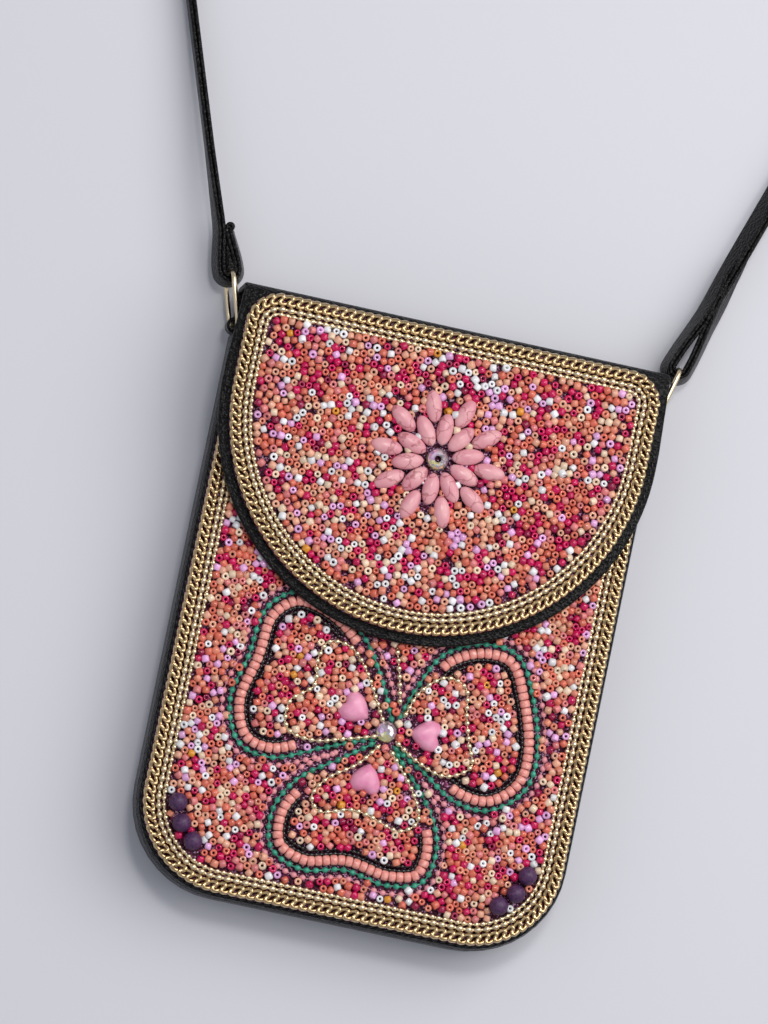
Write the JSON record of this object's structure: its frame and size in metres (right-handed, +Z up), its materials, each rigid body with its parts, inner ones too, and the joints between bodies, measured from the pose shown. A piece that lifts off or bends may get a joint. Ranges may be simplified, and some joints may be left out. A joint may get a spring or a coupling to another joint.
{
  "type": "beaded crossbody bag",
  "caption": "Flat crossbody bag lying on its back: black leather pouch and rounded flap with bead embroidery, gold chain edging, a stone flower, a shamrock and a long strap.",
  "frame": {"origin": "middle of the back panel's outer face, on which the bag lies", "axes": "+X to the bag's right, +Y to the flap's fold and the strap, +Z up, out of the bag's front"},
  "size_m": [0.3456, 0.6851, 0.0319],
  "materials": {
    "black_leather": "fine grain, semi-matt",
    "glitter_cloth": "dark purple cloth with glitter",
    "pale_gold": "pale gold plate, polished",
    "green_chain": "green enamel",
    "coral_bead": "opaque glass bead, glossy",
    "seed_bead": "opaque glass seed beads, mixed",
    "heart_stone": "polished dyed stone",
    "pink_howlite": "polished dyed howlite, fine veins",
    "purple_bead": "dyed, satin",
    "crystal": "cut, iridescent coat"
  },
  "bodies": {
    "root": {"back_panel": "black_leather", "gusset": "black_leather", "front_panel": "black_leather", "flap": "black_leather", "strap": "black_leather", "ring_tab_left": "black_leather", "ring_tab_right": "black_leather", "front_ground": "glitter_cloth", "flap_ground": "glitter_cloth", "front_curb_chain": "pale_gold", "front_ball_chains": "pale_gold", "flap_curb_chain": "pale_gold", "flap_ball_chains": "pale_gold", "leaf_green_chain_left": "green_chain", "leaf_green_chain_right": "green_chain", "leaf_green_chain_bottom": "green_chain", "leaf_coral_row_left": "coral_bead", "leaf_coral_row_right": "coral_bead", "leaf_coral_row_bottom": "coral_bead", "leaf_heart_left": "heart_stone", "leaf_heart_right": "heart_stone", "leaf_heart_bottom": "heart_stone", "petal_inner_01": "pink_howlite", "petal_inner_02": "pink_howlite", "petal_inner_03": "pink_howlite", "petal_inner_04": "pink_howlite", "petal_inner_05": "pink_howlite", "petal_inner_06": "pink_howlite", "petal_inner_07": "pink_howlite", "petal_inner_08": "pink_howlite", "petal_inner_09": "pink_howlite", "petal_inner_10": "pink_howlite", "petal_outer_01": "pink_howlite", "petal_outer_02": "pink_howlite", "petal_outer_03": "pink_howlite", "petal_outer_04": "pink_howlite", "petal_outer_05": "pink_howlite", "petal_outer_06": "pink_howlite", "petal_outer_07": "pink_howlite", "petal_outer_08": "pink_howlite", "petal_outer_09": "pink_howlite", "petal_outer_10": "pink_howlite", "corner_bead_left_1": "purple_bead", "corner_bead_left_2": "purple_bead", "corner_bead_left_3": "purple_bead", "corner_bead_right_1": "purple_bead", "corner_bead_right_2": "purple_bead", "corner_bead_right_3": "purple_bead", "ring_left": "pale_gold", "ring_right": "pale_gold", "flower_crystal": "crystal", "leaf_crystal": "crystal"}
  },
  "joints": []
}
